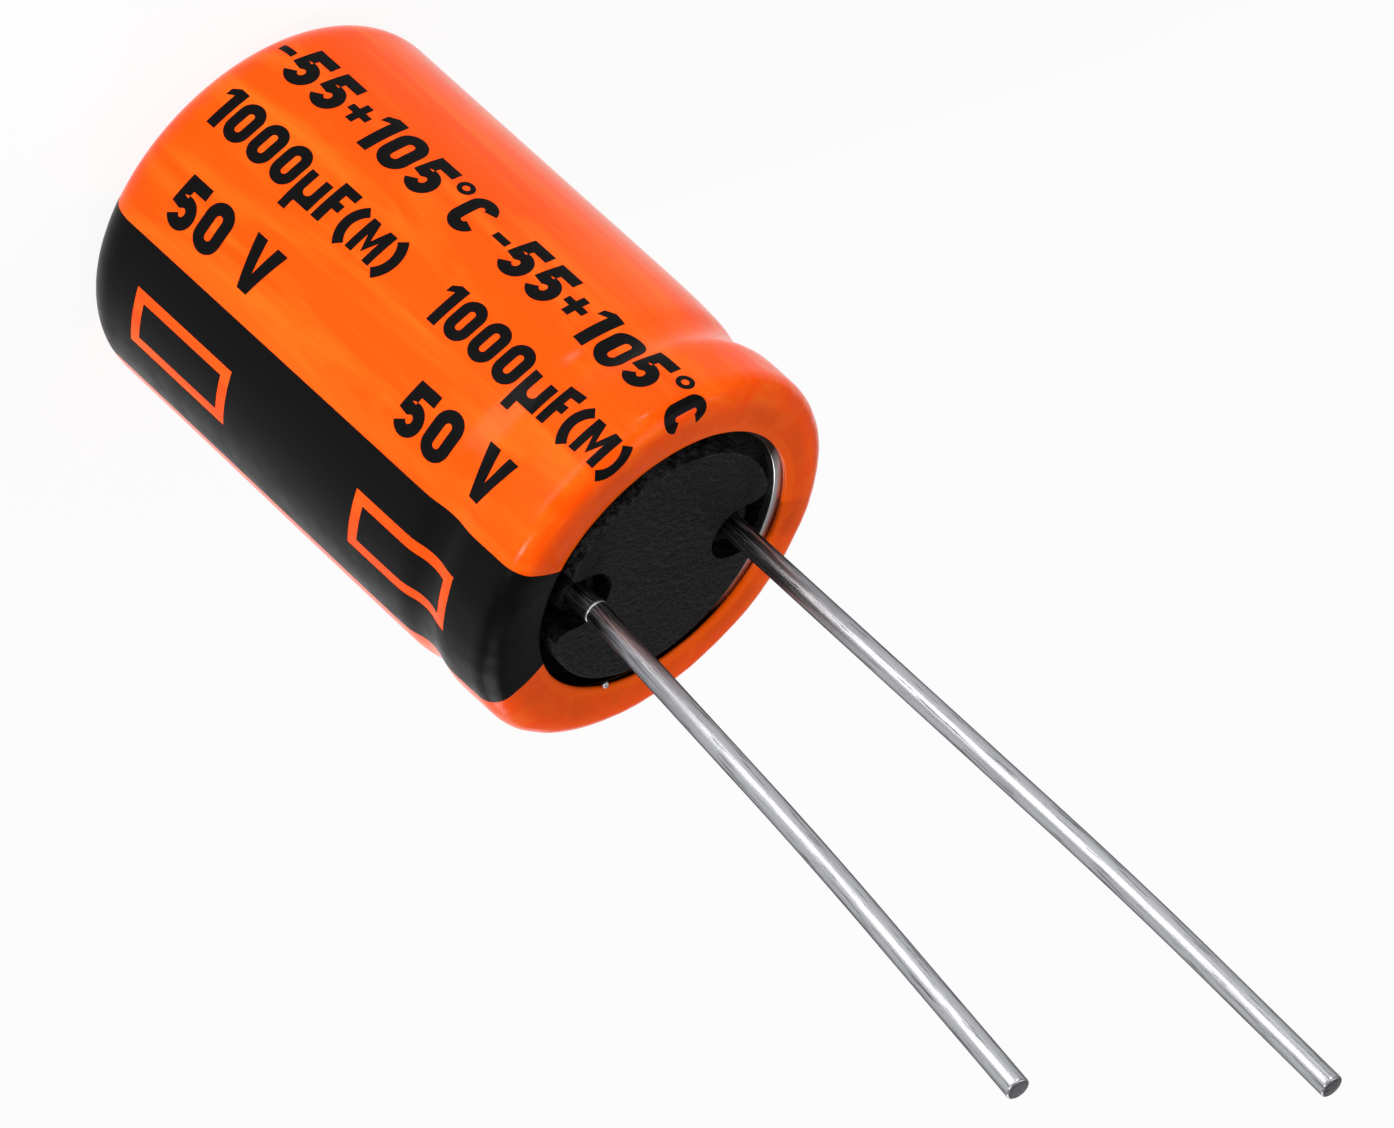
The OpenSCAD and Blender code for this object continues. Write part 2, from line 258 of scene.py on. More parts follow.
# The sleeve's length ends at its mouth, which is a little off the axis
def mouthS(turnDegrees):
    turn = math.radians(turnDegrees)
    off = turn - math.radians(sleeve["mouthTurn"])
    shift = sleeve["mouthShift"]
    r = shift * math.cos(off) + math.sqrt(sleeve["mouthR"] ** 2 - (shift * math.sin(off)) ** 2)
    waver = noise.noise(Vector((math.cos(turn), math.sin(turn), 0.0)) * sleeve["mouthWave"])
    r += sleeve["mouthWaver"] * 0.5 * waver
    return crestS + crownX - r - sleeve["lipR"]


# Points round the mouth's edge, from the top (0) to the underside (1)
def lipPoint(turnDegrees, share, lift=0.0):
    s = mouthS(turnDegrees)
    edge, ahead = sleevePoint(turnDegrees, s), sleevePoint(turnDegrees, s + 0.02)
    inward = (ahead - edge).normalized()
    up = Vector((0, 0, 1))
    up = (up - inward * up.dot(inward)).normalized()
    swing = math.pi * share
    return edge - up * sleeve["lipR"] + (up * math.cos(swing) + inward * math.sin(swing)) * (sleeve["lipR"] + lift)


rimStartS = lengthAt(dipZ - sleeve["rimFrom"])
cornerEndS = lengths[1 + sleeve["arcSteps"]]
outsideRows = (steps(0.0, cornerEndS, sleeve["cornerStep"]) + steps(cornerEndS, rimStartS, sleeve["sideStep"])
               + steps(rimStartS, crestS, sleeve["rimStep"]))
crownShares = [i / sleeve["crownRows"] for i in range(sleeve["crownRows"] + 1)]
lipShares = [i / sleeve["lipRows"] for i in range(1, sleeve["lipRows"] + 1)]

# PVC film, drawn tight by heat: a smooth gloss on a saturated orange, with faint creases drawn along the can.
# Widths and lengths of the patterns are in mm; real drawn lines are finer and wouldn't show
filmFinish = {"colour": "#ff5000", "roughness": 0.2, "ior": 1.53, "specular": 0.08,
              "stretchAndSheenColour": "#ff8020", "stretchAndSheenShare": 0.55, "streakWidth": 1.3, "streakLength": 9.0,
              "lipThickAndShadeColour": "#e24c00", "lipDepth": (0.3, 0.6), "lipReach": (0.2, -0.35),
              "edgeLightColour": "#f05600", "edgeReach": (0.3, 0.2),
              "creaseWidth": 0.35, "creaseLength": 2.5, "creaseHeight": 0.008}


def makeFilm():
    f = filmFinish
    material, tree, shader, place = startMaterial("heat-shrunk PVC film", {
        "Roughness": f["roughness"], "IOR": f["ior"], "Specular IOR Level": f["specular"]})
    parts = addNode(tree, "ShaderNodeSeparateXYZ", links={"Vector": (place, "Vector")})
    flat = addNode(tree, "ShaderNodeCombineXYZ", links={"X": (parts, "X"), "Y": (parts, "Y")})
    radius = addNode(tree, "ShaderNodeVectorMath", {"operation": "LENGTH"}, {0: (flat, "Vector")})
    # the film pales in long faint streaks along the can: partly whitening where it was stretched, partly painted sheen
    pulled = addNode(tree, "ShaderNodeMapping", {"Scale": (
        1 / f["streakWidth"], 1 / f["streakWidth"], 1 / f["streakLength"])}, {"Vector": (place, "Vector")})
    thin = addNode(tree, "ShaderNodeTexNoise", {"Scale": 1.0, "Detail": 6.0, "Roughness": 0.62, "Distortion": 0.8},
                   {"Vector": (pulled, "Vector")})
    pale = addNode(tree, "ShaderNodeMapRange", {"From Min": 0.46, "From Max": 0.72, "To Max": f["stretchAndSheenShare"]},
                   {"Value": (thin, "Fac")})
    side = addNode(tree, "ShaderNodeMix", {"data_type": "RGBA", 6: linear(f["colour"]), 7: linear(f["stretchAndSheenColour"])},
                   {0: (pale, "Result")})
    # the turned-in ring is a deeper orange, in clouds: partly its film, thicker after shrinking, and partly painted
    # shade on its upward face
    ring = addNode(tree, "ShaderNodeMapRange", {
        "interpolation_type": "SMOOTHSTEP", "From Min": crownX + f["lipReach"][0],
        "From Max": crownX + f["lipReach"][1]}, {"Value": (radius, "Value")})
    high = addNode(tree, "ShaderNodeMapRange", {
        "interpolation_type": "SMOOTHSTEP", "From Min": topZ - f["lipDepth"][1],
        "From Max": topZ - f["lipDepth"][0]}, {"Value": (parts, "Z")})
    share = addNode(tree, "ShaderNodeMath", {"operation": "MULTIPLY"}, {0: (ring, "Result"), 1: (high, "Result")})
    cloud = addNode(tree, "ShaderNodeTexNoise", {"Scale": 1.1, "Detail": 4.0, "Roughness": 0.6, "Distortion": 0.6},
                    {"Vector": (place, "Vector")})
    mottle = addNode(tree, "ShaderNodeMapRange", {
        "From Min": 0.35, "From Max": 0.65, "To Min": 0.5, "To Max": 1.0}, {"Value": (cloud, "Fac")})
    clouded = addNode(tree, "ShaderNodeMath", {"operation": "MULTIPLY"},
                      {0: (share, "Value"), 1: (mottle, "Result")})
    colour = addNode(tree, "ShaderNodeMix", {"data_type": "RGBA", 7: linear(f["lipThickAndShadeColour"])},
                     {0: (clouded, "Value"), 6: (side, 2)})
    # in a narrow band round the mouth, where the lip curls inward, the ring's painted shade gives way to a lighter,
    # even orange: painted light
    centre = direction(sleeve["mouthTurn"], 0) * sleeve["mouthShift"]
    shifted = addNode(tree, "ShaderNodeVectorMath", {"operation": "SUBTRACT", 1: centre}, {0: (flat, "Vector")})
    mouthRadius = addNode(tree, "ShaderNodeVectorMath", {"operation": "LENGTH"}, {0: (shifted, "Vector")})
    edge = addNode(tree, "ShaderNodeMapRange", {
        "interpolation_type": "SMOOTHSTEP", "From Min": sleeve["mouthR"] + f["edgeReach"][0],
        "From Max": sleeve["mouthR"] + f["edgeReach"][1]}, {"Value": (mouthRadius, "Value")})
    edged = addNode(tree, "ShaderNodeMath", {"operation": "MULTIPLY"}, {0: (edge, "Result"), 1: (high, "Result")})
    film = addNode(tree, "ShaderNodeMix", {"data_type": "RGBA", 7: linear(f["edgeLightColour"])},
                   {0: (edged, "Value"), 6: (colour, 2)})
    tree.links.new(film.outputs[2], shader.inputs["Base Color"])
    drawn = addNode(tree, "ShaderNodeMapping", {"Scale": (
        1 / f["creaseWidth"], 1 / f["creaseWidth"], 1 / f["creaseLength"])}, {"Vector": (place, "Vector")})
    grain = addNode(tree, "ShaderNodeTexNoise", {"Scale": 1.0, "Detail": 3.0, "Roughness": 0.6},
                    {"Vector": (drawn, "Vector")})
    bump = addNode(tree, "ShaderNodeBump", {"Strength": 0.5, "Distance": f["creaseHeight"] * mm},
                   {"Height": (grain, "Fac")})
    tree.links.new(bump.outputs["Normal"], shader.inputs["Normal"])
    return material


filmMaterial = makeFilm()


def makeSleeve():
    turns = [360 * i / sleeve["columns"] for i in range(sleeve["columns"])]
    rings = [[sleevePoint(t, s) for t in turns] for s in outsideRows]
    rings += [[sleevePoint(t, between(crestS, mouthS(t), share)) for t in turns] for share in crownShares]
    rings += [[lipPoint(t, share) for t in turns] for share in lipShares]
    inside = [crestS + sleeve["insideTop"]] + list(reversed(steps(0.0, crestS, sleeve["insideStep"])))
    rings += [[innerPoint(t, s) for t in turns] for s in inside]
    return addRings("shrinkSleeve", rings, filmMaterial)


sleevePiece = makeSleeve()
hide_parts("sleeve")
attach(sleevePiece, "root")
print("sleeve made")

# The stripe runs from under the closed end over the rim into the mouth, with two marks left open in it
stripe = {"turn": 185, "angle": 50, "shear": 0.1, "shearZ": topZ - 7.45, "lift": 0.008, "depth": 0.03,
          "footTurn": -65, "lipRows": 5, "columnStep": 1.2, "rowStep": 0.12,
          "markTurn": 183, "markLength": 3.5, "markWidth": 1.68, "markLine": 0.32,
          "markR": 5.0,  # radius at which the marks' width is taken
          "markZs": (topZ - 3.4, topZ - 11.5)}
# Screen ink on PVC: smooth and dense, a deep black with less gloss than the film under it
inkFinish = {"colour": "#0a0a0b", "roughness": (0.25, 0.38), "ior": 1.5, "specular": 0.05, "cloud": 0.625}


def makeInk():
    f = inkFinish
    material, tree, shader, place = startMaterial("black screen ink", {
        "Base Color": linear(f["colour"]), "IOR": f["ior"], "Specular IOR Level": f["specular"]})
    uneven = addNode(tree, "ShaderNodeTexNoise", {"Scale": 1 / f["cloud"], "Detail": 4.0},
                     {"Vector": (place, "Vector")})
    gloss = addNode(tree, "ShaderNodeMapRange", {
        "From Min": 0.3, "From Max": 0.7, "To Min": f["roughness"][0], "To Max": f["roughness"][1]},
        {"Value": (uneven, "Fac")})
    tree.links.new(gloss.outputs["Result"], shader.inputs["Roughness"])
    return material


inkMaterial = makeInk()


def sheared(turnDegrees, s):  # the film turned a little as it shrank, and its print with it
    return turnDegrees - stripe["shear"] * (linePoint(s)[1] - stripe["shearZ"])


def makeStripe():
    p = stripe
    half = math.degrees(p["markWidth"] / 2 / p["markR"])
    inner = half - math.degrees(p["markLine"] / p["markR"])
    halfLong = p["markLength"] / 2
    cuts = sorted([p["turn"] - p["angle"] / 2, p["turn"] + p["angle"] / 2]
                  + [p["markTurn"] + d for d in (-half, -inner, inner, half)])
    turns = [t for a, b in zip(cuts, cuts[1:]) for t in steps(a, b, p["columnStep"])] + [cuts[-1]]
    zCuts = sorted(z + d for z in p["markZs"]
                   for d in (-halfLong, -halfLong + p["markLine"], halfLong - p["markLine"], halfLong))
    start = lengths[1] + math.radians(90 + p["footTurn"]) * sleeve["cornerR"]
    cutS = [start] + [lengthAt(z) for z in zCuts] + [crestS]
    rows = [s for a, b in zip(cutS, cutS[1:]) for s in steps(a, b, p["rowStep"])] + [crestS]
    levels = ([("side", s) for s in rows] + [("crown", share) for share in crownShares[1:]]
              + [("lip", share) for share in lipShares[:p["lipRows"]]])

    def place(level, t, lift):
        kind, value = level
        if kind == "side":
            return sleevePoint(sheared(t, value), value, lift)
        t = sheared(t, crestS)
        if kind == "crown":
            return sleevePoint(t, between(crestS, mouthS(t), value), lift)
        return lipPoint(t, value, lift)

    def bare(k, i):  # inside the line of a mark
        kind, s = levels[k]
        if kind != "side" or levels[k + 1][0] != "side":
            return False
        z = linePoint((s + levels[k + 1][1]) / 2)[1]
        t = abs((turns[i] + turns[i + 1]) / 2 - p["markTurn"])
        for markZ in p["markZs"]:
            up = abs(z - markZ)
            if t < half and up < halfLong and not (t < inner and up < halfLong - p["markLine"]):
                return True
        return False

    count = len(turns)
    points = [place(level, t, lift) for lift in (p["lift"], -p["depth"]) for level in levels for t in turns]
    low = len(levels) * count
    inked = {(k, i) for k in range(len(levels) - 1) for i in range(count - 1) if not bare(k, i)}
    faces = []
    for k, i in sorted(inked):
        a, b, c, d = k * count + i, k * count + i + 1, (k + 1) * count + i + 1, (k + 1) * count + i
        faces += [(a, b, c, d), (low + d, low + c, low + b, low + a)]
        for (u, v), beside in (((a, b), (k - 1, i)), ((b, c), (k, i + 1)), ((c, d), (k + 1, i)), ((d, a), (k, i - 1))):
            if beside not in inked:
                faces.append((v, u, low + u, low + v))
    return addPiece("polarityStripe", points, faces, inkMaterial)


stripePiece = makeStripe()
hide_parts("polarity_stripe")
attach(stripePiece, "root")
print("stripe made")

# Plain values in letters of one even stroke, set twice along the can
rating = {"stroke": 0.24, "gap": 0.1, "space": 0.36,  # of a capital's height
          "cell": 0.12, "lift": 0.01, "depth": 0.02, "merge": 0.0005, "cutMerge": 0.0001,
          # name, text, turn, height of a capital, and how far below the top each copy starts
          "words": (("capacity", "1000µF(M)", 126.0, 1.15, (14.3, 6.3)),
                    ("voltage", "50 V", 153.0, 1.34, (13.45, 5.15)),
                    ("heat", "-55+105°C", 103.0, 1.35, (14.6, 6.85)))}


def bend(x, y, r, start, end, count=12, height=None):
    turns = [math.radians(between(start, end, i / count)) for i in range(count + 1)]
    return [(x + r * math.cos(t), y + (height or r) * math.sin(t)) for t in turns]


# Both edges of a stroke along these points, as one outline, or as two where the stroke closes on itself
def strokeOutline(path, closed=False):
    half = rating["stroke"] / 2
    count = len(path)
    sides = ([], [])
    for i, p in enumerate(path):
        before = path[i - 1] if closed or i else p
        after = path[(i + 1) % count] if closed or i < count - 1 else p
        ways = [Vector((q[0] - o[0], q[1] - o[1])).normalized() for o, q in ((before, p), (p, after)) if o != q]
        way = sum(ways, Vector((0, 0))).normalized()
        reach = half / max(way.dot(ways[0]), 0.5)
        for side, sign in zip(sides, (1, -1)):
            side.append((p[0] - way.y * reach * sign, p[1] + way.x * reach * sign))
    return list(sides) if closed else [sides[0] + sides[1][::-1]]


# Outlines and width of each sign, on a capital height of 1; lying strokes are a little thinner than upright ones
def signForms():
    w = rating["stroke"]
    h = w / 2
    zero, five, cee = 0.64, 0.62, 0.6
    r, q, c = zero / 2 - h, five / 2 - h, cee / 2 - h
    mu, muTop = 0.66, 0.74
    one, eff, vee, em, emTop = 0.17 + w, 0.52, 0.8, 0.72, 0.84
    return {
        "0": (strokeOutline(bend(zero / 2, zero / 2, r, -180, 0) + bend(zero / 2, 1 - zero / 2, r, 0, 180), True),
              zero),
        "1": ([[(0.0, 0.7), (0.0, 0.87), (0.17, 1.0), (one, 1.0), (one, 0.0), (0.17, 0.0), (0.17, 0.8)]], one),
        "5": (strokeOutline([(five - 0.03, 1 - h), (h + 0.05, 1 - h), (h + 0.01, 0.5)]
                            + bend(five / 2, 0.33, q, 130, -150, 18, 0.21)), five),
        "C": (strokeOutline(bend(cee / 2, 1 - cee / 2, c, 12, 180) + bend(cee / 2, cee / 2, c, 180, 348)), cee),
        "F": ([[(0, 0), (w, 0), (w, 0.39), (0.42, 0.39), (0.42, 0.39 + w * 0.85), (w, 0.39 + w * 0.85),
                (w, 1 - w * 0.9), (eff, 1 - w * 0.9), (eff, 1), (0, 1)]], eff),
        "V": ([[(0, 1), (w * 1.1, 1), (vee / 2, 0.36), (vee - w * 1.1, 1), (vee, 1), (vee / 2 + h, 0),
                (vee / 2 - h, 0)]], vee),
        "µ": ([[(0, -0.27), (w * 0.9, -0.27), (w * 0.9, 0), (mu, 0), (mu, muTop), (mu - w * 0.9, muTop)]
               + bend(mu / 2, 0.33, mu / 2 - w * 0.9, 0, -180) + [(w * 0.9, muTop), (0, muTop)]], mu),
        "°": ([bend(0.17, 0.83, 0.17, 0, 345, 23), bend(0.17, 0.83, 0.075, 0, 345, 23)], 0.34),
        "+": ([[(0.0, 0.42), (0.16, 0.42), (0.16, 0.24), (0.32, 0.24), (0.32, 0.42), (0.48, 0.42),
                (0.48, 0.58), (0.32, 0.58), (0.32, 0.76), (0.16, 0.76), (0.16, 0.58), (0.0, 0.58)]], 0.48),
        "(": (strokeOutline(bend(0.72, 0.4, 0.62, 132, 228)), 0.36),
        ")": (strokeOutline(bend(-0.36, 0.4, 0.62, -48, 48)), 0.36),
        "M": ([[(0, 0), (w * 0.8, 0), (w * 0.8, 0.5), (em / 2, 0.12), (em - w * 0.8, 0.5), (em - w * 0.8, 0),
                (em, 0), (em, emTop), (em - w * 0.9, emTop), (em / 2, 0.42), (w * 0.9, emTop), (0, emTop)]], em),
        "-": ([[(0, 0.42), (0.34, 0.42), (0.34, 0.58), (0, 0.58)]], 0.34),
    }


def wordMesh(text, capHeight):
    curve = bpy.data.curves.new("word", "CURVE")
    curve.dimensions = "2D"
    curve.fill_mode = "BOTH"
    forms = signForms()
    x = 0.0
    for sign in text:
        if sign == " ":
            x += rating["space"]
            continue
        outlines, width = forms[sign]
        for outline in outlines:
            spline = curve.splines.new("POLY")
            spline.points.add(len(outline) - 1)
            for point, (u, v) in zip(spline.points, outline):
                point.co = ((x + u) * capHeight, v * capHeight, 0, 1)
            spline.use_cyclic_u = True
        x += width + rating["gap"]
    word = bpy.data.objects.new("word", curve)
    bpy.context.scene.collection.objects.link(word)
    mesh = bpy.data.meshes.new_from_object(word.evaluated_get(bpy.context.evaluated_depsgraph_get()))
    bpy.data.objects.remove(word)
    return mesh


# A flat word, cut into cells that can follow the can, laid on the sleeve from this height upwards
def addWord(name, text, baseTurn, capHeight, startZ):
    form = bmesh.new()
    form.from_mesh(wordMesh(text, capHeight))
    bmesh.ops.remove_doubles(form, verts=form.verts, dist=rating["merge"])
    for axis in (0, 1):
        low = min(v.co[axis] for v in form.verts)
        high = max(v.co[axis] for v in form.verts)
        normal = Vector((1, 0, 0)) if axis == 0 else Vector((0, 1, 0))
        for cut in steps(low, high, rating["cell"])[1:]:
            bmesh.ops.bisect_plane(form, geom=form.verts[:] + form.edges[:] + form.faces[:],
                                   dist=rating["cutMerge"], plane_co=normal * cut, plane_no=normal)
    bmesh.ops.triangulate(form, faces=form.faces[:])
    grown = bmesh.ops.extrude_face_region(form, geom=form.faces[:])["geom"]
    top = {v for v in grown if isinstance(v, bmesh.types.BMVert)}
    startS = lengthAt(startZ)
    for v in form.verts:
        s = startS + v.co.x
        turn = baseTurn - math.degrees(v.co.y / sideR)
        v.co = sleevePoint(sheared(turn, s), s, rating["lift"] if v in top else -rating["depth"]) * mm
    bmesh.ops.recalc_face_normals(form, faces=form.faces[:])
    mesh = bpy.data.meshes.new(name)
    form.to_mesh(mesh)
    form.free()
    mesh.materials.append(inkMaterial)
    piece = bpy.data.objects.new(name, mesh)
    bpy.context.scene.collection.objects.link(piece)
    return piece


for name, text, baseTurn, capHeight, starts in rating["words"]:
    for k, start in enumerate(starts):
        piece = addWord(f"{name}Print{k + 1}", text, baseTurn, capHeight, topZ - start)
        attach(piece, "root")
print("rating print made")

# Each turn of a lead is the straight run before it, the radius of the bend and its angle; both lean towards -X
leads = {"radius": 0.3, "around": 48, "step": 0.12, "wander": 0.004, "wave": (1.3, 0.5),
         # the cut end: how far back from the tip, and share of the radius
         "tip": ((0.05, 1.0), (0.02, 0.97), (0.005, 0.9), (0.0, 0.8), (0.01, 0.72), (0.012, 0.4)), "tipGap": 0.004,
         "positive": {"x": 2.4, "turns": ((11.0, 120.0, 2.6),), "height": 20.6},
         "negative": {"x": -2.4, "turns": ((0.3, 5.0, 5.3), (6.0, 120.0, 2.2)), "height": 16.9}}
# Steel wire, drawn and then dipped in tin: a soft mirror with dark and bright streaks along it. A pixel is about
# 0.02 mm here, and real die lines are finer than that, so the streaks are drawn 0.06 mm wide to show
tinFinish = {"colour": "#b2b3b7", "dark": "#4a4b50", "darkRange": (0.33, 0.46), "edge": "#18181b",
             "roughness": (0.22, 0.42), "streakWidth": 0.06, "streakLength": 1.6, "streakHeight": 0.005,
             "nearSealDark": "#2b2d31", "nearSealDarkReach": (0.4, 5.2), "nearSealDarkRange": (0.42, 0.56), "nearSealDarkLeast": 0.05}


def makeTin():
    f = tinFinish
    material, tree, shader, place = startMaterial("tinned drawn wire", {
        "Metallic": 1.0, "Specular Tint": linear(f["edge"])})
    onWire = addNode(tree, "ShaderNodeAttribute", {"attribute_name": "onWire"})
    drawn = addNode(tree, "ShaderNodeMapping", {"Scale": (
        1 / f["streakWidth"], 1 / f["streakWidth"], 1 / f["streakLength"])}, {"Vector": (onWire, "Vector")})
    streak = addNode(tree, "ShaderNodeTexNoise", {"Scale": 1.0, "Detail": 5.0, "Roughness": 0.65, "Distortion": 0.3},
                     {"Vector": (drawn, "Vector")})
    ramp = addNode(tree, "ShaderNodeMapRange", {"From Min": f["darkRange"][0], "From Max": f["darkRange"][1]},
                   {"Value": (streak, "Fac")})
    colour = addNode(tree, "ShaderNodeMix", {"data_type": "RGBA", 6: linear(f["dark"]), 7: linear(f["colour"])},
                     {0: (ramp, "Result")})
    # the wire is darker in patches towards the seal
    parts = addNode(tree, "ShaderNodeSeparateXYZ", links={"Vector": (place, "Vector")})
    near = addNode(tree, "ShaderNodeMapRange", {
        "From Min": topZ + f["nearSealDarkReach"][1], "From Max": topZ + f["nearSealDarkReach"][0]}, {"Value": (parts, "Z")})
    patchy = addNode(tree, "ShaderNodeMapRange", {
        "From Min": f["nearSealDarkRange"][0], "From Max": f["nearSealDarkRange"][1], "To Min": f["nearSealDarkLeast"], "To Max": 1.0},
        {"Value": (streak, "Fac")})
    nearSealDark = addNode(tree, "ShaderNodeMath", {"operation": "MULTIPLY"}, {0: (near, "Result"), 1: (patchy, "Result")})
    wire = addNode(tree, "ShaderNodeMix", {"data_type": "RGBA", 7: linear(f["nearSealDark"])},
                   {0: (nearSealDark, "Value"), 6: (colour, 2)})
    tree.links.new(wire.outputs[2], shader.inputs["Base Color"])
    gloss = addNode(tree, "ShaderNodeMapRange", {"To Min": f["roughness"][1], "To Max": f["roughness"][0]},
                    {"Value": (streak, "Fac")})
    tree.links.new(gloss.outputs["Result"], shader.inputs["Roughness"])
    bump = addNode(tree, "ShaderNodeBump", {"Strength": 0.35, "Distance": f["streakHeight"] * mm},
                   {"Height": (streak, "Fac")})
    tree.links.new(bump.outputs["Normal"], shader.inputs["Normal"])
    return material


tinMaterial = makeTin()


# Points along the middle of a wire in the XZ plane, each with the direction of the wire there
def wirePath(lead, startZ):
    x, z, lean = lead["x"], startZ, 0.0
    path = [(x, z, lean)]

    def goStraight(run, count):
        for i in range(1, count + 1):
            path.append((x - math.sin(lean) * run * i / count, z + math.cos(lean) * run * i / count, lean))

    for k, (run, bowR, angle) in enumerate(lead["turns"]):
        run = run if k else topZ + run - startZ  # the first run counts from the top of the sleeve
        goStraight(run, max(2, round(run / leads["step"])))
        x, z, _ = path[-1]
        turn = math.radians(angle)
        count = max(6, round(bowR * turn / leads["step"]))
        for i in range(1, count + 1):
            now = lean + turn * i / count
            path.append((x - bowR * (math.cos(lean) - math.cos(now)), z + bowR * (math.sin(now) - math.sin(lean)), now))
        x, z, lean = path[-1]
    run = (topZ + lead["height"] - z) / math.cos(lean)
    goStraight(run, round(run / leads["step"]))
    return path


# Each point keeps its place on the straightened wire, which the streaks follow
def addLead(name, lead, startZ, seed):
    path = wirePath(lead, startZ)
    around = leads["around"]
    rings, onWire = [], []

    def ring(x, z, lean, r, back=0.0, rough=True):
        along = Vector((-math.sin(lean), 0, math.cos(lean)))
        side = Vector((math.cos(lean), 0, math.sin(lean)))
        middle = Vector((x, 0, z)) - along * back
        across, upwards = leads["wave"]
        out = []
        for i in range(around):
            a = 2 * math.pi * i / around
            way = side * math.cos(a) + Vector((0, 1, 0)) * math.sin(a)
            wander = noise.noise(way * across + Vector((seed, 0, z * upwards))) if rough else 0.0
            out.append(middle + way * (r - leads["wander"] * (0.5 + 0.5 * wander)))
            onWire.append(Vector((r * math.cos(a), r * math.sin(a), seed + z / math.cos(lean))))
        return out

    for x, z, lean in path[:-1]:
        rings.append(ring(x, z, lean, leads["radius"]))
    x, z, lean = path[-1]
    for back, share in leads["tip"]:
        rings.append(ring(x, z, lean, leads["radius"] * share, back + leads["tipGap"], False))
    piece = addRings(name, rings, tinMaterial, capped=True, sharpAngle=50)
    kept = piece.data.attributes.new("onWire", "FLOAT_VECTOR", "POINT")
    for k, spot in enumerate(onWire):
        kept.data[k].vector = spot
    return piece


for seed, (name, node) in enumerate((("positive", "positive_lead"), ("negative", "negative_lead"))):
    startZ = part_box(node)[0].z / mm
    piece = addLead(name + "Lead", leads[name], startZ, seed * 7.0)
    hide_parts(node)
    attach(piece, "root")
print("leads made")

# Butyl rubber, pressed in a mould dusted with talc: a dull black with fine grain, and a pale speckled ring of painted
# highlight on the pad's rim.
# The grain is drawn 0.22 mm wide, matched, and coarser than it may really be, so that it shows
sealFinish = {"colour": "#030303", "pale": "#101011", "roughness": 0.38, "ior": 1.52, "specular": 0.09,
              "grain": 0.22, "grainHeight": 0.16,
              "edgeLightColour": "#2d2d2e", "edgeR": 3.26, "edgeWidth": (0.02, 0.06)}


def makeRubber():
    f = sealFinish
    material, tree, shader, place = startMaterial("moulded butyl rubber", {
        "Roughness": f["roughness"], "IOR": f["ior"], "Specular IOR Level": f["specular"]})
    grain = addNode(tree, "ShaderNodeTexNoise", {"Scale": 1 / f["grain"], "Detail": 4.0, "Roughness": 0.7},
                    {"Vector": (place, "Vector")})
    speck = addNode(tree, "ShaderNodeMapRange", {"From Min": 0.45, "From Max": 0.8}, {"Value": (grain, "Fac")})
    colour = addNode(tree, "ShaderNodeMix", {"data_type": "RGBA", 6: linear(f["colour"]), 7: linear(f["pale"])},
                     {0: (speck, "Result")})
    # painted highlight: a pale speckled ring along the pad's rim
    parts = addNode(tree, "ShaderNodeSeparateXYZ", links={"Vector": (place, "Vector")})
    flat = addNode(tree, "ShaderNodeCombineXYZ", links={"X": (parts, "X"), "Y": (parts, "Y")})
    radius = addNode(tree, "ShaderNodeVectorMath", {"operation": "LENGTH"}, {0: (flat, "Vector")})
    off = addNode(tree, "ShaderNodeMath", {"operation": "SUBTRACT", 1: f["edgeR"]}, {0: (radius, "Value")})
    away = addNode(tree, "ShaderNodeMath", {"operation": "ABSOLUTE"}, {0: (off, "Value")})
    rim = addNode(tree, "ShaderNodeMapRange", {"From Min": f["edgeWidth"][1], "From Max": f["edgeWidth"][0]},
                  {"Value": (away, "Value")})
    rimSpeckle = addNode(tree, "ShaderNodeMapRange", {"From Min": 0.42, "From Max": 0.6}, {"Value": (grain, "Fac")})
    rimHighlight = addNode(tree, "ShaderNodeMath", {"operation": "MULTIPLY"}, {0: (rim, "Result"), 1: (rimSpeckle, "Result")})
    rubber = addNode(tree, "ShaderNodeMix", {"data_type": "RGBA", 7: linear(f["edgeLightColour"])},
                     {0: (rimHighlight, "Value"), 6: (colour, 2)})
    tree.links.new(rubber.outputs[2], shader.inputs["Base Color"])
    bump = addNode(tree, "ShaderNodeBump", {"Strength": 1.0, "Distance": f["grainHeight"] * mm},
                   {"Height": (grain, "Fac")})
    tree.links.new(bump.outputs["Normal"], shader.inputs["Normal"])
    return material


# Deep-drawn aluminium, left bright: a soft mirror with faint lines from the die. Painted shade darkens its curled edge
# inside the mouth, from this far below the top, all but where a point lies this far out towards the side where the rim
# shows bright
canFinish = {"colour": "#d5d6d8", "roughness": 0.28, "lines": (8.0, 8.0, 0.8),
             "paintedShade": "#2a1408", "paintedShadeDepth": (0.9, 1.2), "brightSideTurn": -8, "brightSideReach": (2.9, 3.35)}
# Aluminium pressed flat and round from strip: a satin grey with short lines
tabFinish = {"colour": "#b9bbbe", "roughness": 0.35, "lines": (5.0, 5.0, 1.0)}


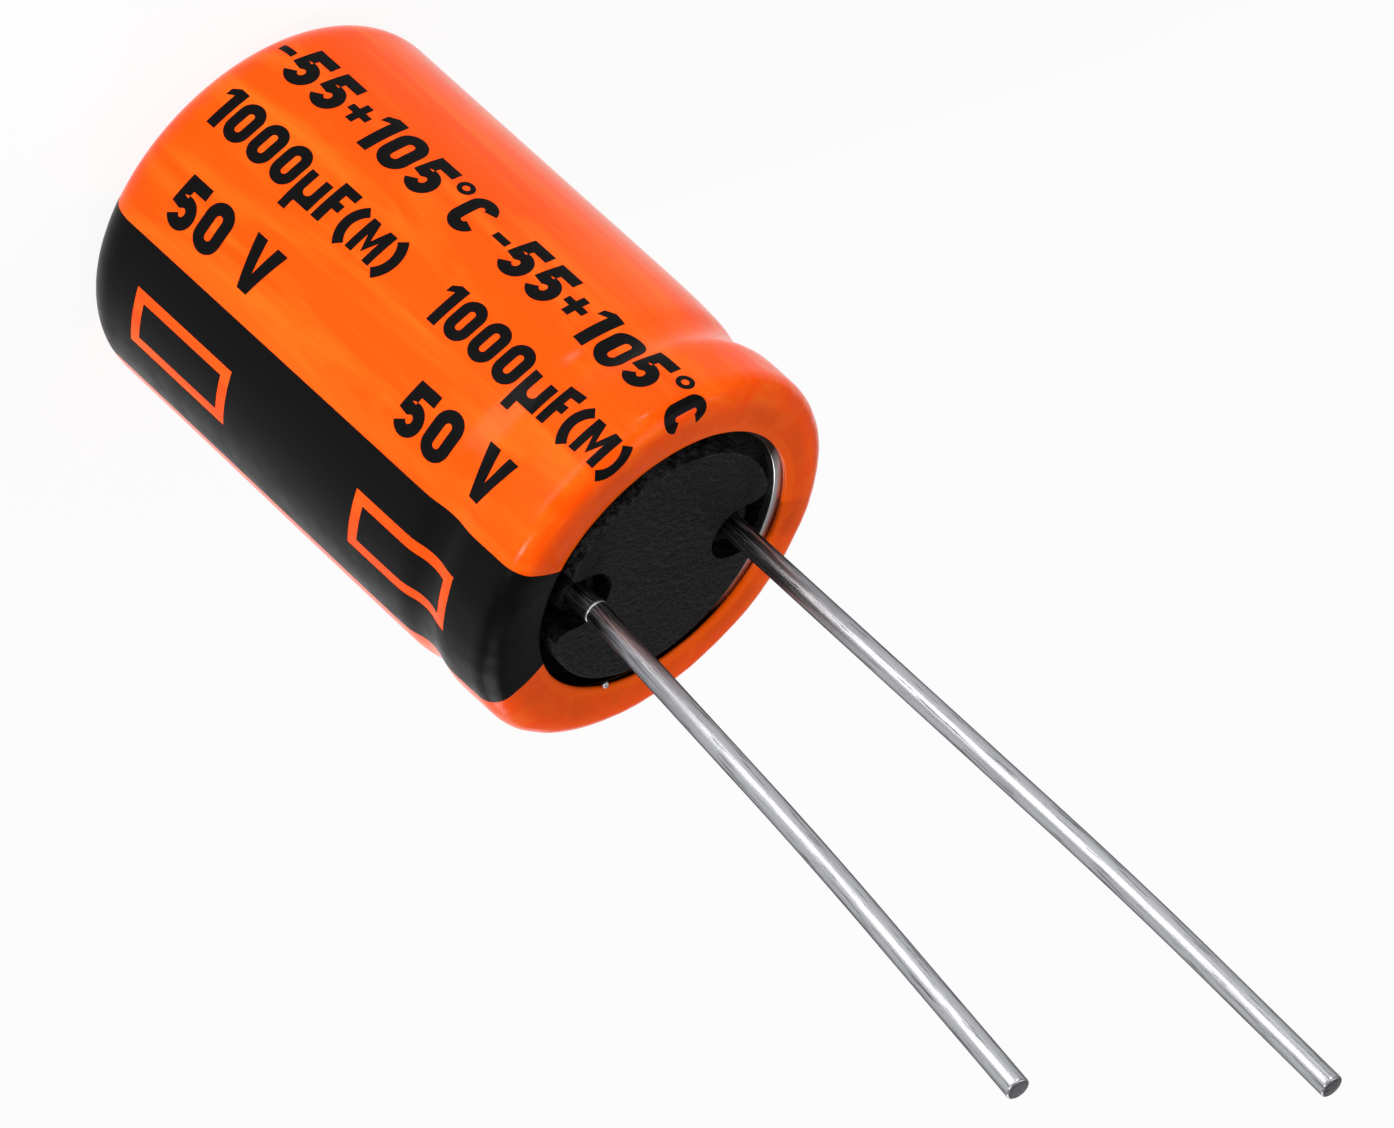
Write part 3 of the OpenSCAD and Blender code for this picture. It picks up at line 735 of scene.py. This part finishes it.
def makeAluminium(name, f):
    material, tree, shader, place = startMaterial(name, {"Metallic": 1.0, "Base Color": linear(f["colour"])})
    if "paintedShade" in f:
        # painted shade on the curled edge, all but on the side where the rim shows bright
        parts = addNode(tree, "ShaderNodeSeparateXYZ", links={"Vector": (place, "Vector")})
        facing = addNode(tree, "ShaderNodeVectorMath", {
            "operation": "DOT_PRODUCT", 1: direction(f["brightSideTurn"], 0)}, {0: (place, "Vector")})
        other = addNode(tree, "ShaderNodeMapRange", {
            "From Min": f["brightSideReach"][1], "From Max": f["brightSideReach"][0]}, {"Value": (facing, "Value")})
        high = addNode(tree, "ShaderNodeMapRange", {
            "From Min": topZ - f["paintedShadeDepth"][1], "From Max": topZ - f["paintedShadeDepth"][0]},
            {"Value": (parts, "Z")})
        share = addNode(tree, "ShaderNodeMath", {"operation": "MULTIPLY"},
                        {0: (other, "Result"), 1: (high, "Result")})
        metal = addNode(tree, "ShaderNodeMix", {
            "data_type": "RGBA", 6: linear(f["colour"]), 7: linear(f["paintedShade"])}, {0: (share, "Value")})
        tree.links.new(metal.outputs[2], shader.inputs["Base Color"])
    drawn = addNode(tree, "ShaderNodeMapping", {"Scale": f["lines"]}, {"Vector": (place, "Vector")})
    grain = addNode(tree, "ShaderNodeTexNoise", {"Scale": 1.0, "Detail": 4.0}, {"Vector": (drawn, "Vector")})
    gloss = addNode(tree, "ShaderNodeMapRange", {"To Min": f["roughness"] - 0.06, "To Max": f["roughness"] + 0.12},
                    {"Value": (grain, "Fac")})
    tree.links.new(gloss.outputs["Result"], shader.inputs["Roughness"])
    bump = addNode(tree, "ShaderNodeBump", {"Strength": 0.25, "Distance": 0.003 * mm}, {"Height": (grain, "Fac")})
    tree.links.new(bump.outputs["Normal"], shader.inputs["Normal"])
    return material


# Kraft paper and etched foil wound together: a dull brown with turns in two shades. turns is the rings' scale,
# guessed, as the roll isn't seen
rollFinish = {"colour": "#8d7350", "pale": "#b59a72", "roughness": 0.75, "ior": 1.45, "turns": 1.2}
# Polyester tape: a smooth gloss on a clear amber, unevenly stuck
tapeFinish = {"colour": "#a9781f", "pale": "#c8922f", "roughness": 0.25, "ior": 1.57, "cloud": 1.25}


def makeTwoTone(name, f, kind, settings):
    material, tree, shader, place = startMaterial(name, {"Roughness": f["roughness"], "IOR": f["ior"]})
    pattern = addNode(tree, kind, settings, {"Vector": (place, "Vector")})
    colour = addNode(tree, "ShaderNodeMix", {"data_type": "RGBA", 6: linear(f["colour"]), 7: linear(f["pale"])},
                     {0: (pattern, "Fac")})
    tree.links.new(colour.outputs[2], shader.inputs["Base Color"])
    return material


rubberMaterial = makeRubber()
canMaterial = makeAluminium("bright drawn aluminium", canFinish)
tabMaterial = makeAluminium("pressed aluminium", tabFinish)
rollMaterial = makeTwoTone("wound kraft paper and foil", rollFinish, "ShaderNodeTexWave", {
    "wave_type": "RINGS", "rings_direction": "Z", "Scale": rollFinish["turns"], "Distortion": 0.4})
tapeMaterial = makeTwoTone("polyester tape", tapeFinish, "ShaderNodeTexNoise", {"Scale": 1 / tapeFinish["cloud"]})

# A ring of bright metal round the negative lead, and a bead of it at the mouth's edge
weldRing = {"height": 0.4, "radius": 0.3, "thick": 0.014, "long": 0.042, "rings": 12, "around": 48}
rimBead = {"turn": -103, "r": 3.6, "z": topZ - 0.06, "radius": 0.09, "lumps": 0.2, "rings": 9, "around": 20}


def addWeldRing():
    w = weldRing
    turns = [2 * math.pi * i / w["around"] for i in range(w["around"])]
    rings = []
    for k in range(w["rings"]):
        swing = 2 * math.pi * k / w["rings"]
        r = w["radius"] + w["thick"] * math.cos(swing)
        z = topZ + w["height"] + w["long"] * math.sin(swing)
        rings.append([Vector((leads["negative"]["x"] + r * math.cos(t), r * math.sin(t), z)) for t in turns])
    return addRings("weldRing", rings, tabMaterial)


def addRimBead():
    b = rimBead
    middle = direction(b["turn"], 0) * b["r"] + Vector((0, 0, b["z"]))
    rings = []
    for k in range(b["rings"]):
        rise = between(-88, 88, k / (b["rings"] - 1))  # short of the poles, which are capped
        ways = [direction(360 * i / b["around"], rise) for i in range(b["around"])]
        rings.append([middle + way * b["radius"] * (1 + b["lumps"] * noise.noise(way * 1.4)) for way in ways])
    return addRings("rimBead", rings, tabMaterial, capped=True, sharpAngle=80)


for piece, slot in ((addWeldRing(), "lead"), (addRimBead(), "can")):
    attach(piece, "root")

finishes = {"rubber_seal": rubberMaterial, "can": canMaterial, "anode_tab": tabMaterial, "cathode_tab": tabMaterial,
            "wound_roll": rollMaterial, "closing_tape": tapeMaterial}
for name, material in finishes.items():
    nodes[name].data.materials.clear()
    nodes[name].data.materials.append(material)

softEdges = {"rubber_seal": 0.05, "can": 0.03}  # width of the softened edges
for name, width in softEdges.items():
    weld = nodes[name].modifiers.new("weld", "WELD")
    weld.merge_threshold = 0.0005 * mm
    bevel = nodes[name].modifiers.new("edge", "BEVEL")
    bevel.width = width * mm
    bevel.segments = 3
    bevel.limit_method = "ANGLE"
    bevel.angle_limit = math.radians(50)
print("plain parts dressed")

# Pale floor, soft lamps, and a camera at the photo's angle
studio = {"floor": 4000, "floorColour": "#f4f4f4", "floorGlow": 0.9, "worldLight": 0.3,
          "cameraTurn": 131.74, "cameraRise": 27.92, "cameraRoll": 132.53, "cameraDistance": 199.72,
          "target": (0.437, 0.39, 16.019), "lens": 222.93, "clip": (5, 5000),
          # name, turn, rise, distance, width, height, and level on a white card at the target
          "lamps": (("key", 104, 22, 260, 140, 140, 0.17), ("side", 174, 20, 240, 12, 60, 0.37),
                    ("top", 30, 62, 260, 150, 150, 0.26), ("back", 262, 18, 260, 150, 150, 0.38),
                    ("stripOne", 84, 0, 150, 14, 24, 0.14), ("stripTwo", 130.5, -12, 40, 30, 17, 0.44))}


# Pale paper, matt, so that shadows on it are soft; what is seen of it directly or in a gloss is lifted to white
def makePaper():
    material, tree, shader, _ = startMaterial("pale matt paper", {
        "Base Color": linear(studio["floorColour"]), "Roughness": 0.9, "Specular IOR Level": 0.1})
    ray = addNode(tree, "ShaderNodeLightPath")
    gloss = addNode(tree, "ShaderNodeMath", {"operation": "MAXIMUM"},
                    {0: (ray, "Is Glossy Ray"), 1: (ray, "Is Transmission Ray")})
    seen = addNode(tree, "ShaderNodeMath", {"operation": "MAXIMUM"}, {0: (ray, "Is Camera Ray"), 1: (gloss, "Value")})
    share = addNode(tree, "ShaderNodeMath", {"operation": "MULTIPLY", 1: studio["floorGlow"]}, {0: (seen, "Value")})
    white = addNode(tree, "ShaderNodeEmission", {"Strength": 1.0})
    both = addNode(tree, "ShaderNodeMixShader",
                   links={0: (share, "Value"), 1: (shader, "BSDF"), 2: (white, "Emission")})
    tree.links.new(both.outputs["Shader"], tree.nodes["Material Output"].inputs["Surface"])
    return material


def addLamp(target, name, turn, rise, distance, width, height, level):
    lamp = bpy.data.lights.new(name, "AREA")
    lamp.shape = "RECTANGLE"
    lamp.size, lamp.size_y = width * mm, height * mm
    # the power that gives this level on a white card facing the lamp from the target
    lamp.energy = level * math.pi * math.pi * (distance * mm) ** 2
    holder = bpy.data.objects.new(name, lamp)
    holder.location = target + direction(turn, rise) * distance * mm
    holder.visible_camera = False
    holder.rotation_euler = direction(turn, rise).to_track_quat("Z", "Y").to_euler()
    bpy.context.scene.collection.objects.link(holder)


def addCamera(target):
    back = direction(studio["cameraTurn"], studio["cameraRise"])
    camera = bpy.data.cameras.new("camera")
    camera.lens = studio["lens"]
    camera.clip_start, camera.clip_end = [clip * mm for clip in studio["clip"]]
    holder = bpy.data.objects.new("camera", camera)
    level = Vector((0, 0, 1)).cross(back).normalized()
    up = back.cross(level)
    turned = Matrix((level, up, back)).transposed() @ Matrix.Rotation(math.radians(studio["cameraRoll"]), 3, "Z")
    holder.matrix_world = Matrix.Translation(target + back * studio["cameraDistance"] * mm) @ turned.to_4x4()
    bpy.context.scene.collection.objects.link(holder)
    bpy.context.scene.camera = holder


def makeStudio():
    scene = bpy.context.scene
    scene.view_settings.view_transform = "Standard"
    half = studio["floor"] / 2
    floor = addPiece("floor", [(-half, -half, 0), (half, -half, 0), (half, half, 0), (-half, half, 0)],
                     [(0, 1, 2, 3)], makePaper())
    world = bpy.data.worlds.new("studio")
    scene.world = world
    world.use_nodes = True
    background = world.node_tree.nodes["Background"]
    background.inputs["Color"].default_value = (1, 1, 1, 1)
    background.inputs["Strength"].default_value = studio["worldLight"]
    target = Vector(studio["target"]) * mm
    for lamp in studio["lamps"]:
        addLamp(target, *lamp)
    addCamera(target)


makeStudio()
print("studio made")

bpy.context.view_layer.update()
